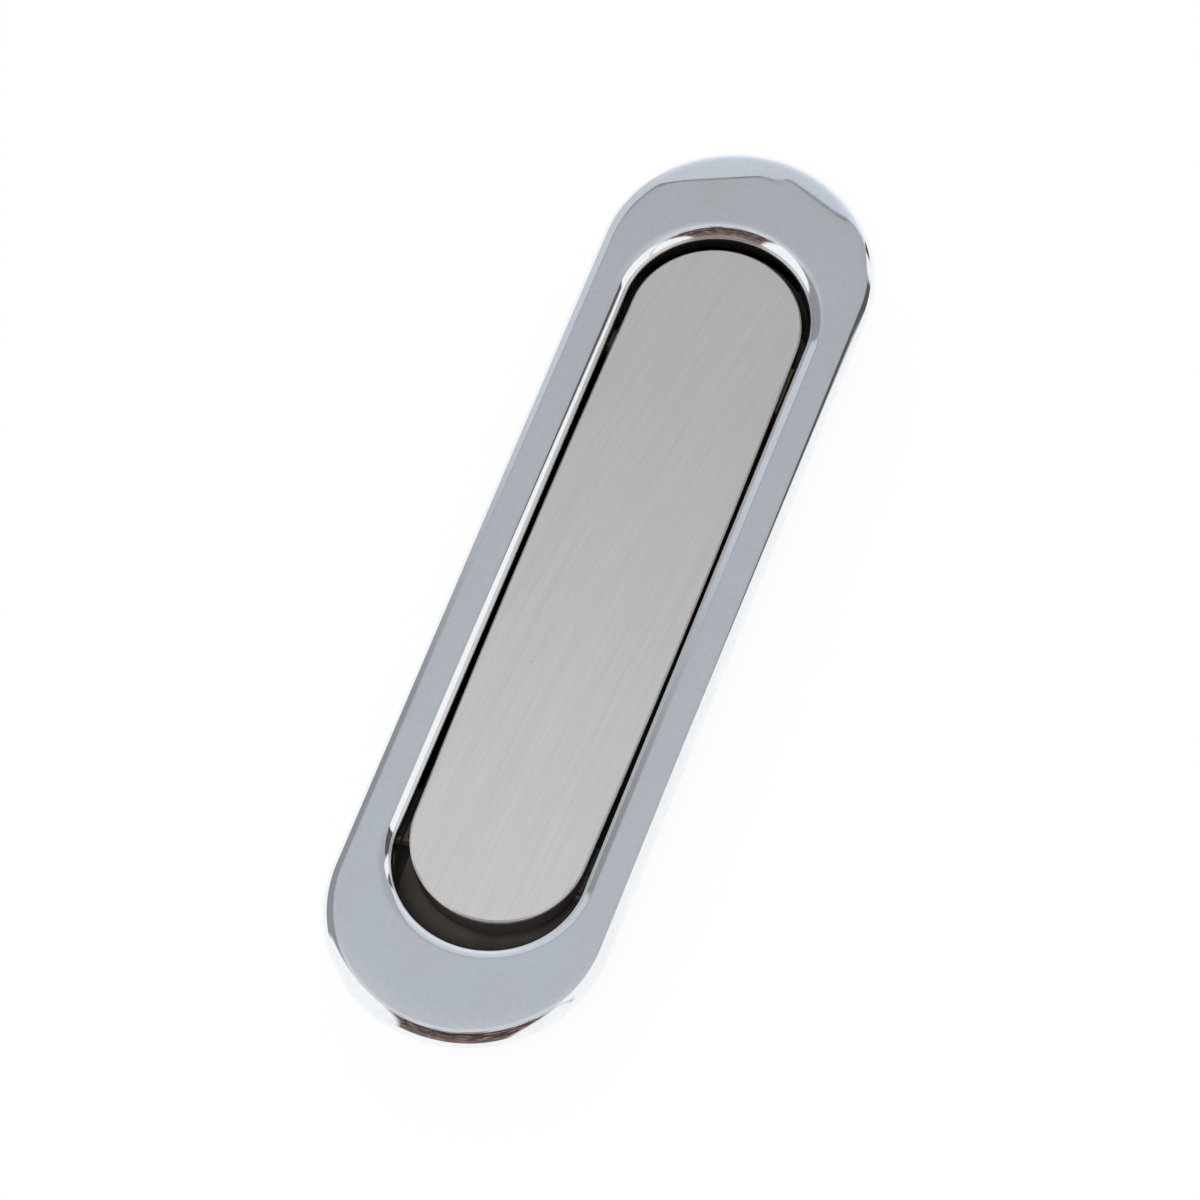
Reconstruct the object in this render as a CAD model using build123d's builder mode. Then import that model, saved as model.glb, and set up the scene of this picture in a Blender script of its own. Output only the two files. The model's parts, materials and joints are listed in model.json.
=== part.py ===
from build123d import *
from math import asin, atan, cos, degrees, hypot, radians, sin
import os

# Recessed pull handle. Z = 0 is the face of the door, +Z points out of it, and Y runs along the handle.
# The plate tips on a cross pin: its +Y end is pressed in and its -Y end rises to be gripped.

# Face ring, a plated die casting
face_length = 145.0
face_width = 40.0
flange_height = 2.2
crown_width = 3.4
crown_drop = 0.06
edge_radius = 2.0
end_land = 14.65
side_land = 6.65
lip_radius = 2.1
collar_wall = 1.2
collar_depth = 2.6
core_height = 0.8
seat_width = 1.8

# Bosses on the back of the ring
fixing_inset = 8.5
fixing_boss_radius = 3.1
fixing_boss_length = 9.0
fixing_thread_radius = 1.65
fixing_thread_length = 8.0
clamp_inset = 12.0
clamp_side_inset = 9.5
clamp_boss_radius = 2.2
clamp_boss_length = 5.0
clamp_bore_radius = 1.05
clamp_bore_length = 5.2

# Moulded housing behind the ring
housing_depth = 15.5
floor_thickness = 1.6
floor_fillet = 1.5
rim_wall = 0.9
cavity_growth = 0.2
nest_clearance = 0.1
ear_thickness = 2.4
ear_inset = 3.5
ear_clearance = 0.3

# Screws that clamp the housing to the ring
screw_head_radius = 2.1
screw_head_height = 1.7
screw_length = 6.5
screw_recess_radius = 1.2
screw_recess_depth = 0.8
thread_clearance = 0.02
shank_clearance = 0.25

# Brushed plate and the tape that holds it
finger_gap = 4.4
press_gap = 1.4
side_gap = 0.55
plate_bow = 0.42
plate_drop = 2.0
plate_thickness = 0.8
plate_bevel = 0.25
tape_thickness = 0.2
tape_inset = 1.2

# Flap that carries the plate
flap_inset = 0.3
deck_thickness = 1.8
skirt_wall = 1.4
skirt_depth = 2.0
rib_thickness = 0.9
rib_depth = 1.2
rib_pitch = 13.0
rib_count = 6

# Hinge
pivot_inset = 17.5
pivot_depth = 6.1
pin_radius = 1.5
pin_chamfer = 0.3
pin_end_clearance = 0.2
grip_clearance = 0.02
running_clearance = 0.05
lug_radius = 2.9
lug_root = 7.4
outer_lug_width = 2.8
inner_lug_width = 8.0
bush_wall = 0.8
bush_flange_radius = 2.9
bush_flange = 0.7
bush_clearance = 0.25

# Torsion springs
wire_radius = 0.35
coil_clearance = 0.6
coil_pitch = 0.8
coil_turns = 3
leg_length = 9.0
spring_clearance = 0.03

# Stops
press_pad_radius = 3.0
press_pad_inset = 2.7
press_pad_thickness = 0.85
rest_pad_thickness = 1.0
rest_pad_length = 7.0
rest_pad_margin = 0.5
ledge_thickness = 1.6
ledge_length = 8.0
ledge_inset = 14.0
ledge_reach = 2.6

# Places worked out from the sizes above
opening_length = face_length - 2 * end_land
opening_width = face_width - 2 * side_land
collar_length = opening_length + 2 * collar_wall
collar_width = opening_width + 2 * collar_wall
nest_length = collar_length + 2 * nest_clearance
nest_width = collar_width + 2 * nest_clearance
housing_length = nest_length + 2 * rim_wall
housing_width = nest_width + 2 * rim_wall
cavity_length = opening_length + 2 * cavity_growth
cavity_width = opening_width + 2 * cavity_growth
floor_level = floor_thickness - housing_depth
fixing_reach = face_length / 2 - fixing_inset
clamp_reach = face_length / 2 - clamp_inset
clamp_offset = face_width / 2 - clamp_side_inset
ear_top = -clamp_boss_length
ear_bottom = ear_top - ear_thickness

plate_front = -opening_length / 2 + finger_gap
plate_back = opening_length / 2 - press_gap
plate_half_width = opening_width / 2 - side_gap
plate_top = flange_height - plate_drop
plate_bottom = plate_top - plate_thickness
deck_top = plate_bottom - tape_thickness
deck_bottom = deck_top - deck_thickness
skirt_bottom = deck_bottom - skirt_depth
pivot_y = plate_back - pivot_inset
pivot_z = -pivot_depth

bush_radius = pin_radius + running_clearance + bush_wall
bush_bore = pin_radius + running_clearance
lug_outside = cavity_width / 2 - bush_flange - bush_clearance
spring_start = inner_lug_width / 2 + 2 * wire_radius
coil_radius = pin_radius + coil_clearance + wire_radius

press_pad_y = plate_back - press_pad_inset
rest_pad_bottom = skirt_bottom - rest_pad_thickness
ledge_y = plate_front + ledge_inset

sides = {"left": -1, "right": 1}
ends = (-1, 1)


def stadium(length, width):
    """A slot outline along Y about the origin, in the sketch that is open."""
    SlotOverall(length, width, rotation=90)


def plate_outline(inset):
    """The plate's outline moved inwards: round ends joined by sides that bow out a little."""
    half = plate_half_width - inset
    end_half = half - plate_bow
    front = plate_front + inset
    back = plate_back - inset
    middle = (front + back) / 2
    with BuildLine() as outline:
        ThreePointArc((end_half, front + end_half), (half, middle), (end_half, back - end_half))
        ThreePointArc((end_half, back - end_half), (0, back), (-end_half, back - end_half))
        ThreePointArc((-end_half, back - end_half), (-half, middle), (-end_half, front + end_half))
        ThreePointArc((-end_half, front + end_half), (0, front), (end_half, front + end_half))
    make_face(outline.edges())


def flange_section():
    """Half of the ring's outer section: seat, upright rim, rounded edge, crown and flat face."""
    half = face_width / 2
    with BuildLine() as section:
        Polyline((half - crown_width, flange_height), (0, flange_height), (0, 0), (half, 0))
        Line((half, 0), (half, flange_height - crown_drop))
        TangentArc(
            (half - crown_width, flange_height), (half, flange_height - crown_drop), tangent=(1, 0)
        )
    make_face(section.edges())
    rim_corner = vertices().group_by(Axis.X)[-1].sort_by(Axis.Y)[-1]
    fillet(rim_corner, radius=edge_radius)


def lug_profile():
    """Side view of a hinge lug: a root on the flap's deck that narrows to a round eye."""
    with BuildLine() as root:
        Polyline(
            (pivot_y - lug_root / 2, deck_bottom),
            (pivot_y + lug_root / 2, deck_bottom),
            (pivot_y + lug_radius, pivot_z),
            (pivot_y - lug_radius, pivot_z),
            (pivot_y - lug_root / 2, deck_bottom),
        )
    make_face(root.edges())
    with Locations((pivot_y, pivot_z)):
        Circle(lug_radius)


def leg_angle(reach):
    """Slope in degrees at which a spring leg, tangent to its coil, just meets a face at this reach."""
    height = reach - wire_radius - spring_clearance
    return degrees(asin(height / hypot(coil_radius, leg_length)) - atan(coil_radius / leg_length))


# Face ring: a crowned flange with round ends, a rounded lip, a collar and bosses behind it
end_centre = face_length / 2 - face_width / 2
with BuildPart() as bezel:
    with BuildSketch(Plane.XZ):
        flange_section()
        mirror(about=Plane.YZ)
    extrude(amount=end_centre, both=True)
    for end in ends:
        with BuildSketch(Plane.XZ.offset(-end * end_centre)):
            flange_section()
        revolve(axis=Axis((0, end * end_centre, 0), (0, 0, end)), revolution_arc=180)
    with BuildSketch():
        stadium(collar_length, collar_width)
    extrude(amount=-collar_depth)
    with BuildSketch():
        stadium(face_length - 2 * seat_width, face_width - 2 * seat_width)
        SlotOverall(collar_length, collar_width, rotation=90, mode=Mode.SUBTRACT)
    extrude(amount=core_height, mode=Mode.SUBTRACT)
    with BuildSketch(Plane.XY.offset(core_height)):
        with Locations((0, -fixing_reach), (0, fixing_reach)):
            Circle(fixing_boss_radius)
    extrude(amount=-core_height - fixing_boss_length)
    with BuildSketch(Plane.XY.offset(core_height)):
        with GridLocations(2 * clamp_offset, 2 * clamp_reach, 2, 2):
            Circle(clamp_boss_radius)
    extrude(amount=-core_height - clamp_boss_length)
    with BuildSketch(Plane.XY.offset(-fixing_boss_length)):
        with Locations((0, -fixing_reach), (0, fixing_reach)):
            Circle(fixing_thread_radius)
    extrude(amount=fixing_thread_length, mode=Mode.SUBTRACT)
    with BuildSketch(Plane.XY.offset(-clamp_boss_length)):
        with GridLocations(2 * clamp_offset, 2 * clamp_reach, 2, 2):
            Circle(clamp_bore_radius)
    extrude(amount=clamp_bore_length, mode=Mode.SUBTRACT)
    with BuildSketch(Plane.XY.offset(-collar_depth)):
        stadium(opening_length, opening_width)
    extrude(amount=collar_depth + flange_height, mode=Mode.SUBTRACT)
    fillet(bezel.edges(Select.LAST).group_by(Axis.Z)[-1], radius=lip_radius)

# Housing: a cup with an ear at each end, a nest for the collar, bush holes and two ledges
with BuildPart() as housing:
    with BuildSketch(Plane.XY.offset(-housing_depth)):
        stadium(housing_length, housing_width)
    extrude(amount=housing_depth)
    fillet(housing.edges().group_by(Axis.Z)[0], radius=floor_fillet)
    with BuildSketch(Plane.XY.offset(ear_bottom)):
        stadium(face_length - 2 * ear_inset, housing_width)
    extrude(amount=ear_thickness)
    with BuildSketch(Plane.XY.offset(floor_level)):
        stadium(cavity_length, cavity_width)
    extrude(amount=-floor_level, mode=Mode.SUBTRACT)
    with BuildSketch():
        stadium(nest_length, nest_width)
    extrude(amount=-collar_depth - nest_clearance, mode=Mode.SUBTRACT)
    with BuildSketch(Plane.XY.offset(ear_bottom)):
        with Locations((0, -fixing_reach), (0, fixing_reach)):
            Circle(fixing_boss_radius + ear_clearance)
        with GridLocations(2 * clamp_offset, 2 * clamp_reach, 2, 2):
            Circle(clamp_bore_radius + shank_clearance)
    extrude(amount=ear_thickness, mode=Mode.SUBTRACT)
    with BuildSketch(Plane.YZ):
        with Locations((pivot_y, pivot_z)):
            Circle(bush_radius + grip_clearance)
    extrude(amount=housing_width, both=True, mode=Mode.SUBTRACT)
    ledge_width = housing_width / 2 - plate_half_width + ledge_reach
    with BuildSketch(Plane.XY.offset(rest_pad_bottom)):
        with Locations(
            (ledge_width / 2 - housing_width / 2 + rim_wall / 2, ledge_y),
            (housing_width / 2 - rim_wall / 2 - ledge_width / 2, ledge_y),
        ):
            Rectangle(ledge_width - rim_wall, ledge_length)
    extrude(amount=-ledge_thickness)

# Self-tapping screws, put in from behind through the ears
clamp_screws = []
with BuildPart() as clamp_screw:
    with BuildSketch(Plane.XY.offset(ear_bottom - screw_head_height)):
        Circle(screw_head_radius)
    extrude(amount=screw_head_height)
    fillet(clamp_screw.edges().group_by(Axis.Z)[0], radius=screw_head_height / 3)
    with BuildSketch(Plane.XY.offset(ear_bottom)):
        Circle(clamp_bore_radius - thread_clearance)
    extrude(amount=screw_length)
    with BuildSketch(Plane.XY.offset(ear_bottom - screw_head_height)):
        RegularPolygon(screw_recess_radius, 6)
    extrude(amount=screw_recess_depth, mode=Mode.SUBTRACT)
screw_places = [(x * clamp_offset, y * clamp_reach) for y in ends for x in ends]
for number, (x, y) in enumerate(screw_places, start=1):
    screw = Pos(x, y, 0) * clamp_screw.part
    screw.label = f"housing_screw_{number}"
    clamp_screws.append(screw)

# Brushed plate with a fine bevel round its front edge
with BuildPart() as face_plate:
    with BuildSketch(Plane.XY.offset(plate_bottom)):
        plate_outline(0)
    extrude(amount=plate_thickness)
    chamfer(face_plate.edges().group_by(Axis.Z)[-1], length=plate_bevel)

# Double-sided tape between the plate and the flap
with BuildPart() as adhesive_sheet:
    with BuildSketch(Plane.XY.offset(deck_top)):
        plate_outline(tape_inset)
    extrude(amount=tape_thickness)

# Flap: a deck with a skirt round it, ribs below and three hinge lugs
with BuildPart() as flap:
    with BuildSketch(Plane.XY.offset(skirt_bottom)):
        plate_outline(flap_inset)
    extrude(amount=deck_top - skirt_bottom)
    with BuildSketch(Plane.XY.offset(skirt_bottom)):
        plate_outline(flap_inset + skirt_wall)
    extrude(amount=skirt_depth, mode=Mode.SUBTRACT)
    rib_reach = 2 * (plate_half_width - flap_inset - skirt_wall)
    rib_start = plate_front + flap_inset + skirt_wall + rib_pitch
    with BuildSketch(Plane.XY.offset(deck_bottom)):
        with Locations(*[(0, rib_start + step * rib_pitch) for step in range(rib_count)]):
            Rectangle(rib_reach, rib_thickness)
        with Locations((0, (plate_front + flap_inset + pivot_y - lug_root / 2) / 2)):
            Rectangle(rib_thickness, pivot_y - lug_root / 2 - plate_front - flap_inset)
    extrude(amount=-rib_depth)
    for lug_middle, lug_width in (
        (-lug_outside + outer_lug_width / 2, outer_lug_width),
        (0, inner_lug_width),
        (lug_outside - outer_lug_width / 2, outer_lug_width),
    ):
        with BuildSketch(Plane.YZ.offset(lug_middle)):
            lug_profile()
        extrude(amount=lug_width / 2, both=True)
    with BuildSketch(Plane.YZ):
        with Locations((pivot_y, pivot_z)):
            Circle(pin_radius + grip_clearance)
    extrude(amount=lug_outside, both=True, mode=Mode.SUBTRACT)

# Hinge pin, gripped by the lugs and turning in the bushes
with BuildPart() as hinge_pin:
    with BuildSketch(Plane.YZ):
        with Locations((pivot_y, pivot_z)):
            Circle(pin_radius)
    extrude(amount=housing_width / 2 - pin_end_clearance, both=True)
    chamfer(hinge_pin.edges().filter_by(GeomType.CIRCLE), length=pin_chamfer)

# Flanged bushes, pressed into the housing's walls from inside
bushes = []
for side, sign in sides.items():
    inner_face = Plane(origin=(sign * cavity_width / 2, pivot_y, pivot_z), z_dir=(sign, 0, 0))
    with BuildPart(inner_face) as bush:
        with BuildSketch(inner_face):
            Circle(bush_radius)
        extrude(amount=(housing_width - cavity_width) / 2)
        with BuildSketch(inner_face):
            Circle(bush_flange_radius)
        extrude(amount=-bush_flange)
        with BuildSketch(inner_face.offset(-bush_flange)):
            Circle(bush_bore)
        extrude(amount=bush_flange + housing_width, mode=Mode.SUBTRACT)
    bush.part.label = f"hinge_bush_{side}"
    bushes.append(bush.part)

# Torsion springs: one leg lifts the press end of the flap, the other stands on the floor
springs = []
upper_leg_angle = leg_angle(deck_bottom - pivot_z)
lower_leg_angle = leg_angle(pivot_z - floor_level)
legs_apart = 180 - upper_leg_angle - lower_leg_angle
coil_length = coil_pitch * (coil_turns + legs_apart / 360)
top_tangent = radians(90 + upper_leg_angle)
with BuildPart() as spring:
    with BuildLine() as wire:
        coil = Helix(pitch=coil_pitch, height=coil_length, radius=coil_radius)
        Line(coil @ 0 - (coil % 0) * leg_length, coil @ 0)
        Line(coil @ 1, coil @ 1 + (coil % 1) * leg_length)
    with BuildSketch(Plane(origin=wire.wires()[0] @ 0, z_dir=wire.wires()[0] % 0)):
        Circle(wire_radius)
    sweep(path=wire.wires()[0])
hinge_side = Plane(
    origin=(spring_start, pivot_y, pivot_z),
    x_dir=(0, cos(top_tangent), sin(top_tangent)),
    z_dir=(1, 0, 0),
)
right_spring = hinge_side * spring.part
for side, sign in sides.items():
    turned = right_spring if sign > 0 else mirror(right_spring, about=Plane.YZ)
    turned.label = f"torsion_spring_{side}"
    springs.append(turned)

# Soft pads: a disc on the floor under the press end, a block on each ledge under the long end
with BuildPart() as press_pad:
    with BuildSketch(Plane.XY.offset(floor_level)):
        with Locations((0, press_pad_y)):
            Circle(press_pad_radius)
    extrude(amount=press_pad_thickness)
pads = []
for side, sign in sides.items():
    with BuildPart() as rest_pad:
        with BuildSketch(Plane.XY.offset(rest_pad_bottom)):
            with Locations((sign * (plate_half_width - flap_inset - skirt_wall / 2), ledge_y)):
                Rectangle(skirt_wall + 2 * rest_pad_margin, rest_pad_length)
        extrude(amount=rest_pad_thickness)
    rest_pad.part.label = f"rest_pad_{side}"
    pads.append(rest_pad.part)

bezel.part.label = "bezel"
housing.part.label = "housing"
face_plate.part.label = "face_plate"
adhesive_sheet.part.label = "adhesive_sheet"
flap.part.label = "flap"
hinge_pin.part.label = "hinge_pin"
press_pad.part.label = "press_pad"

os.makedirs("parts", exist_ok=True)
export_step(bezel.part, "parts/bezel.step")
export_step(housing.part, "parts/housing.step")
export_step(face_plate.part, "parts/face_plate.step")
export_step(adhesive_sheet.part, "parts/adhesive_sheet.step")
export_step(flap.part, "parts/flap.step")
export_step(hinge_pin.part, "parts/hinge_pin.step")
export_step(press_pad.part, "parts/press_pad.step")
for piece in clamp_screws + bushes + springs + pads:
    export_step(piece, f"parts/{piece.label}.step")
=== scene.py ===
import json
import math

import bmesh
import bpy
from mathutils import Matrix, Vector


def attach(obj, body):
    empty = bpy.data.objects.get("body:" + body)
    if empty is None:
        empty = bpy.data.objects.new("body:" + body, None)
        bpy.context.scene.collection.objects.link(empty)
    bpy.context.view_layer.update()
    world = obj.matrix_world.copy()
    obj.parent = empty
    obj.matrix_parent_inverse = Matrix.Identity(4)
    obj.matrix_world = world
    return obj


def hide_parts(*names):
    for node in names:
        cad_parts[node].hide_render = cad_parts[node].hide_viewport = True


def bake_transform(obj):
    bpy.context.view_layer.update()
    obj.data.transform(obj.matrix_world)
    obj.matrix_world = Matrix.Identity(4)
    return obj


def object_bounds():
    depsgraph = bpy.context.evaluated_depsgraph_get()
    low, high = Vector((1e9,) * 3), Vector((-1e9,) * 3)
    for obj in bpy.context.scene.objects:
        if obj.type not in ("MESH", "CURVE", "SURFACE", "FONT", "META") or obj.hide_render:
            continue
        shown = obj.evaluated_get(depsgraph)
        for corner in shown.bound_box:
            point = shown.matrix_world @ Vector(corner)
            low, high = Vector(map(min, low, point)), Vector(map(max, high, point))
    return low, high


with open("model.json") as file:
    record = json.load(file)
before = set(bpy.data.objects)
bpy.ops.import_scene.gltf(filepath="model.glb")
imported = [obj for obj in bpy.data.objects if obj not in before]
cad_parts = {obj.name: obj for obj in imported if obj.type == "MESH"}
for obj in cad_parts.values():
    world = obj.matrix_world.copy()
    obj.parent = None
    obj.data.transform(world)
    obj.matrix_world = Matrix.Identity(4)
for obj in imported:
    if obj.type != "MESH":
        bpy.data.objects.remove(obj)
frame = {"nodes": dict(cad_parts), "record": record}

nodes = frame["nodes"]
cadBox = [list(corner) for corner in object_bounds()]
print("Frame loaded:", len(nodes), "CAD nodes")


# Small helpers for node trees

def setInputs(tree, node, values):  # a socket is linked, and anything else is set as the input's own value
    for key, value in values.items():
        if isinstance(value, bpy.types.NodeSocket):
            tree.links.new(value, node.inputs[key])
        else:
            node.inputs[key].default_value = value


def addNode(tree, kind, inputs=None, **settings):
    node = tree.nodes.new("ShaderNode" + kind)
    for key, value in settings.items():
        setattr(node, key, value)
    setInputs(tree, node, inputs or {})
    return node


def calc(tree, operation, *values, clamp=False):
    inputs = dict(enumerate(values))
    return addNode(tree, "Math", inputs, operation=operation, use_clamp=clamp).outputs[0]


def rescale(tree, value, fromMin, fromMax, toMin, toMax):
    inputs = {"Value": value, "From Min": fromMin, "From Max": fromMax, "To Min": toMin, "To Max": toMax}
    return addNode(tree, "MapRange", inputs, clamp=True).outputs["Result"]


def fadeIn(tree, value, start, end):
    inputs = {"Value": value, "From Min": start, "From Max": end}
    return addNode(tree, "MapRange", inputs, interpolation_type="SMOOTHSTEP").outputs["Result"]


def blendColours(tree, factor, first, second, how="MIX"):
    node = addNode(tree, "Mix", data_type="RGBA", blend_type=how, clamp_factor=True)
    setInputs(tree, node, {0: factor})
    for index, colour in ((6, first), (7, second)):
        linked = isinstance(colour, bpy.types.NodeSocket)
        setInputs(tree, node, {index: colour if linked else (*colour, 1.0)})
    return node.outputs[2]


def addBump(tree, height, distance, strength=1.0, over=None):
    inputs = {"Height": height, "Strength": strength, "Distance": distance}
    if over is not None:
        inputs["Normal"] = over
    return addNode(tree, "Bump", inputs).outputs["Normal"]


def newGroup(name, takes, gives):
    group = bpy.data.node_groups.new(name, "ShaderNodeTree")
    for label, kind, value in takes:
        socket = group.interface.new_socket(label, in_out="INPUT", socket_type="NodeSocket" + kind)
        if value is not None:
            socket.default_value = value
    for label, kind in gives:
        group.interface.new_socket(label, in_out="OUTPUT", socket_type="NodeSocket" + kind)
    start = group.nodes.new("NodeGroupInput")
    end = group.nodes.new("NodeGroupOutput")
    return group, start.outputs, end.inputs


def placeGroup(tree, group, inputs=None):
    node = tree.nodes.new("ShaderNodeGroup")
    node.node_tree = group
    setInputs(tree, node, inputs or {})
    return node.outputs


def spreadNodes(tree, perColumn=5, columnStep=220, rowStep=260):  # columns, so the tree can be read
    for index, node in enumerate(tree.nodes):
        node.location = (columnStep * (index // perColumn), -rowStep * (index % perColumn))


def newMaterial(name):
    material = bpy.data.materials.new(name)
    material.use_nodes = True
    tree = material.node_tree
    shader = tree.nodes["Principled BSDF"]
    return material, tree, shader


# Effects that several materials share. Sizes are millimetres on the part, apart from an edge's width, which the
# Bevel node takes in metres.

def buildPartPosition():
    group, _, gives = newGroup("partPosition", (), (("Position", "Vector"),))
    coords = addNode(group, "TexCoord")
    scaled = addNode(group, "VectorMath", {0: coords.outputs["Object"], "Scale": 1000.0}, operation="SCALE")
    group.links.new(scaled.outputs[0], gives["Position"])
    return group


def buildBrushLines():
    levels = ((1.0, 1.0, 0.42), (2.7, 1.6, 0.28), (11.0, 3.0, 0.30))  # times wider, times longer, weight
    bendStart = -60.0  # lines lean over with the cube of the distance from here
    toneRange = (0.36, 0.64)  # the sum of the levels seldom goes past these
    takes = (
        ("Position", "Vector", None),
        ("Line Width", "Float", 0.1),
        ("Line Length", "Float", 14.0),
        ("Lean", "Float", 0.0),
        ("Bend", "Float", 0.0),
    )
    group, start, gives = newGroup("brushLines", takes, (("Height", "Float"), ("Tone", "Float")))
    parts = addNode(group, "SeparateXYZ", {0: start["Position"]}).outputs
    leaned = calc(group, "MULTIPLY", parts["Y"], start["Lean"])
    beyond = calc(group, "SUBTRACT", parts["Y"], bendStart)
    bent = calc(group, "MULTIPLY", calc(group, "POWER", beyond, 3.0), start["Bend"])
    across = calc(group, "SUBTRACT", calc(group, "SUBTRACT", parts["X"], leaned), bent)
    heights = []
    for wider, longer, weight in levels:
        lineWidth = calc(group, "MULTIPLY", start["Line Width"], wider)
        lineLength = calc(group, "MULTIPLY", start["Line Length"], longer)
        stretched = addNode(group, "CombineXYZ", {
            "X": calc(group, "DIVIDE", across, lineWidth),
            "Y": calc(group, "DIVIDE", parts["Y"], lineLength),
            "Z": calc(group, "DIVIDE", parts["Z"], lineWidth),
        }).outputs[0]
        noise = addNode(group, "TexNoise", {"Vector": stretched, "Scale": 1.0, "Detail": 1.5, "Roughness": 0.6})
        heights.append(calc(group, "MULTIPLY", noise.outputs["Fac"], weight))
    total = calc(group, "ADD", calc(group, "ADD", heights[0], heights[1]), heights[2])
    group.links.new(total, gives["Height"])
    group.links.new(rescale(group, total, *toneRange, 0.0, 1.0), gives["Tone"])
    return group


def buildMouldGrain():
    broadScale = 0.16  # patches of shine about 6 mm across
    takes = (("Position", "Vector", None), ("Grain Size", "Float", 0.3))
    group, start, gives = newGroup("mouldGrain", takes, (("Height", "Float"), ("Shine", "Float")))
    finer = calc(group, "DIVIDE", 1.0, start["Grain Size"])
    cells = addNode(group, "TexVoronoi", {"Vector": start["Position"], "Scale": finer, "Randomness": 1.0})
    clouds = addNode(group, "TexNoise", {"Vector": start["Position"], "Scale": finer, "Detail": 3.0})
    broad = addNode(group, "TexNoise", {"Vector": start["Position"], "Scale": broadScale, "Detail": 2.0})
    height = calc(group, "ADD", cells.outputs["Distance"], clouds.outputs["Fac"])
    group.links.new(height, gives["Height"])
    group.links.new(broad.outputs["Fac"], gives["Shine"])
    return group


def buildSlowMottle():
    takes = (("Position", "Vector", None), ("Patch Size", "Float", 2.0))
    group, start, gives = newGroup("slowMottle", takes, (("Value", "Float"),))
    finer = calc(group, "DIVIDE", 1.0, start["Patch Size"])
    inputs = {"Vector": start["Position"], "Scale": finer, "Detail": 2.5, "Roughness": 0.5}
    group.links.new(addNode(group, "TexNoise", inputs).outputs["Fac"], gives["Value"])
    return group


def buildFineScratches():
    directions = ((0.4, 0.9), (1.7, 1.3), (2.6, 0.7))  # the turn in radians, and how fine they are
    finest, longest = 5.0, 0.10  # noise cells per mm across and along a scratch
    peaks = (0.74, 0.78)  # only the noise's peaks are scratches
    takes = (("Position", "Vector", None), ("Amount", "Float", 0.2))
    group, start, gives = newGroup("fineScratches", takes, (("Mask", "Float"),))
    masks = []
    for turn, spread in directions:
        turned = addNode(group, "Mapping", {
            "Vector": start["Position"],
            "Rotation": (0.0, 0.0, turn),
            "Scale": (finest * spread, longest, finest),
        })
        inputs = {"Vector": turned.outputs[0], "Scale": 1.0, "Detail": 0.0, "Distortion": 0.15}
        noise = addNode(group, "TexNoise", inputs)
        masks.append(fadeIn(group, noise.outputs["Fac"], *peaks))
    both = calc(group, "MAXIMUM", calc(group, "MAXIMUM", masks[0], masks[1]), masks[2])
    group.links.new(calc(group, "MULTIPLY", both, start["Amount"], clamp=True), gives["Mask"])
    return group


def buildDustSpecks():
    takes = (
        ("Position", "Vector", None),
        ("Spacing", "Float", 3.0),
        ("Speck Size", "Float", 0.1),
        ("Share", "Float", 0.3),
    )
    group, start, gives = newGroup("dustSpecks", takes, (("Mask", "Float"),))
    finer = calc(group, "DIVIDE", 1.0, start["Spacing"])
    cells = addNode(group, "TexVoronoi", {"Vector": start["Position"], "Scale": finer, "Randomness": 1.0})
    colour = addNode(group, "SeparateXYZ", {0: cells.outputs["Color"]}).outputs
    radius = calc(group, "MULTIPLY", calc(group, "MULTIPLY", start["Speck Size"], finer), colour["Y"])
    dot = calc(group, "LESS_THAN", cells.outputs["Distance"], radius)
    chosen = calc(group, "LESS_THAN", colour["X"], start["Share"])
    group.links.new(calc(group, "MULTIPLY", dot, chosen), gives["Mask"])
    return group


def buildWornEdges():
    flat, turned = 0.998, 0.93  # how far the rounded and the plain direction agree: not worn, and fully worn
    broken = (0.38, 0.62)  # wear comes and goes along an edge with this range of noise
    takes = (("Position", "Vector", None), ("Edge Width", "Float", 0.00025), ("Amount", "Float", 0.6))
    group, start, gives = newGroup("wornEdges", takes, (("Mask", "Float"),))
    rounded = addNode(group, "Bevel", {"Radius": start["Edge Width"]}, samples=4)
    plain = addNode(group, "NewGeometry")
    inputs = {0: rounded.outputs["Normal"], 1: plain.outputs["Normal"]}
    same = addNode(group, "VectorMath", inputs, operation="DOT_PRODUCT").outputs["Value"]
    edge = rescale(group, same, flat, turned, 0.0, 1.0)
    noise = addNode(group, "TexNoise", {"Vector": start["Position"], "Scale": 1.3, "Detail": 3.0})
    patchy = fadeIn(group, noise.outputs["Fac"], *broken)
    worn = calc(group, "MULTIPLY", calc(group, "MULTIPLY", edge, patchy), start["Amount"], clamp=True)
    group.links.new(worn, gives["Mask"])
    return group


partPosition = buildPartPosition()
brushLines = buildBrushLines()
mouldGrain = buildMouldGrain()
slowMottle = buildSlowMottle()
fineScratches = buildFineScratches()
dustSpecks = buildDustSpecks()
wornEdges = buildWornEdges()
for shared in bpy.data.node_groups:
    spreadNodes(shared)
print("Shared effects built:", len(bpy.data.node_groups))

slowRange = (0.3, 0.7)     # slow noise seldom goes past these, so they stand for none and all of an effect
shineRange = (0.25, 0.75)  # the same for the patches of shine on mouldings


def placeMottle(tree, position, size):
    return placeGroup(tree, slowMottle, {"Position": position, "Patch Size": size})["Value"]


def placeMask(tree, group, position, values):
    return placeGroup(tree, group, {"Position": position, **values})["Mask"]


# Face ring: bright chrome on a die casting, with the faint waviness that polishing leaves.
# In all finishes gloss is the roughness from best to least polished, depths are metres and sizes millimetres.

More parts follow.
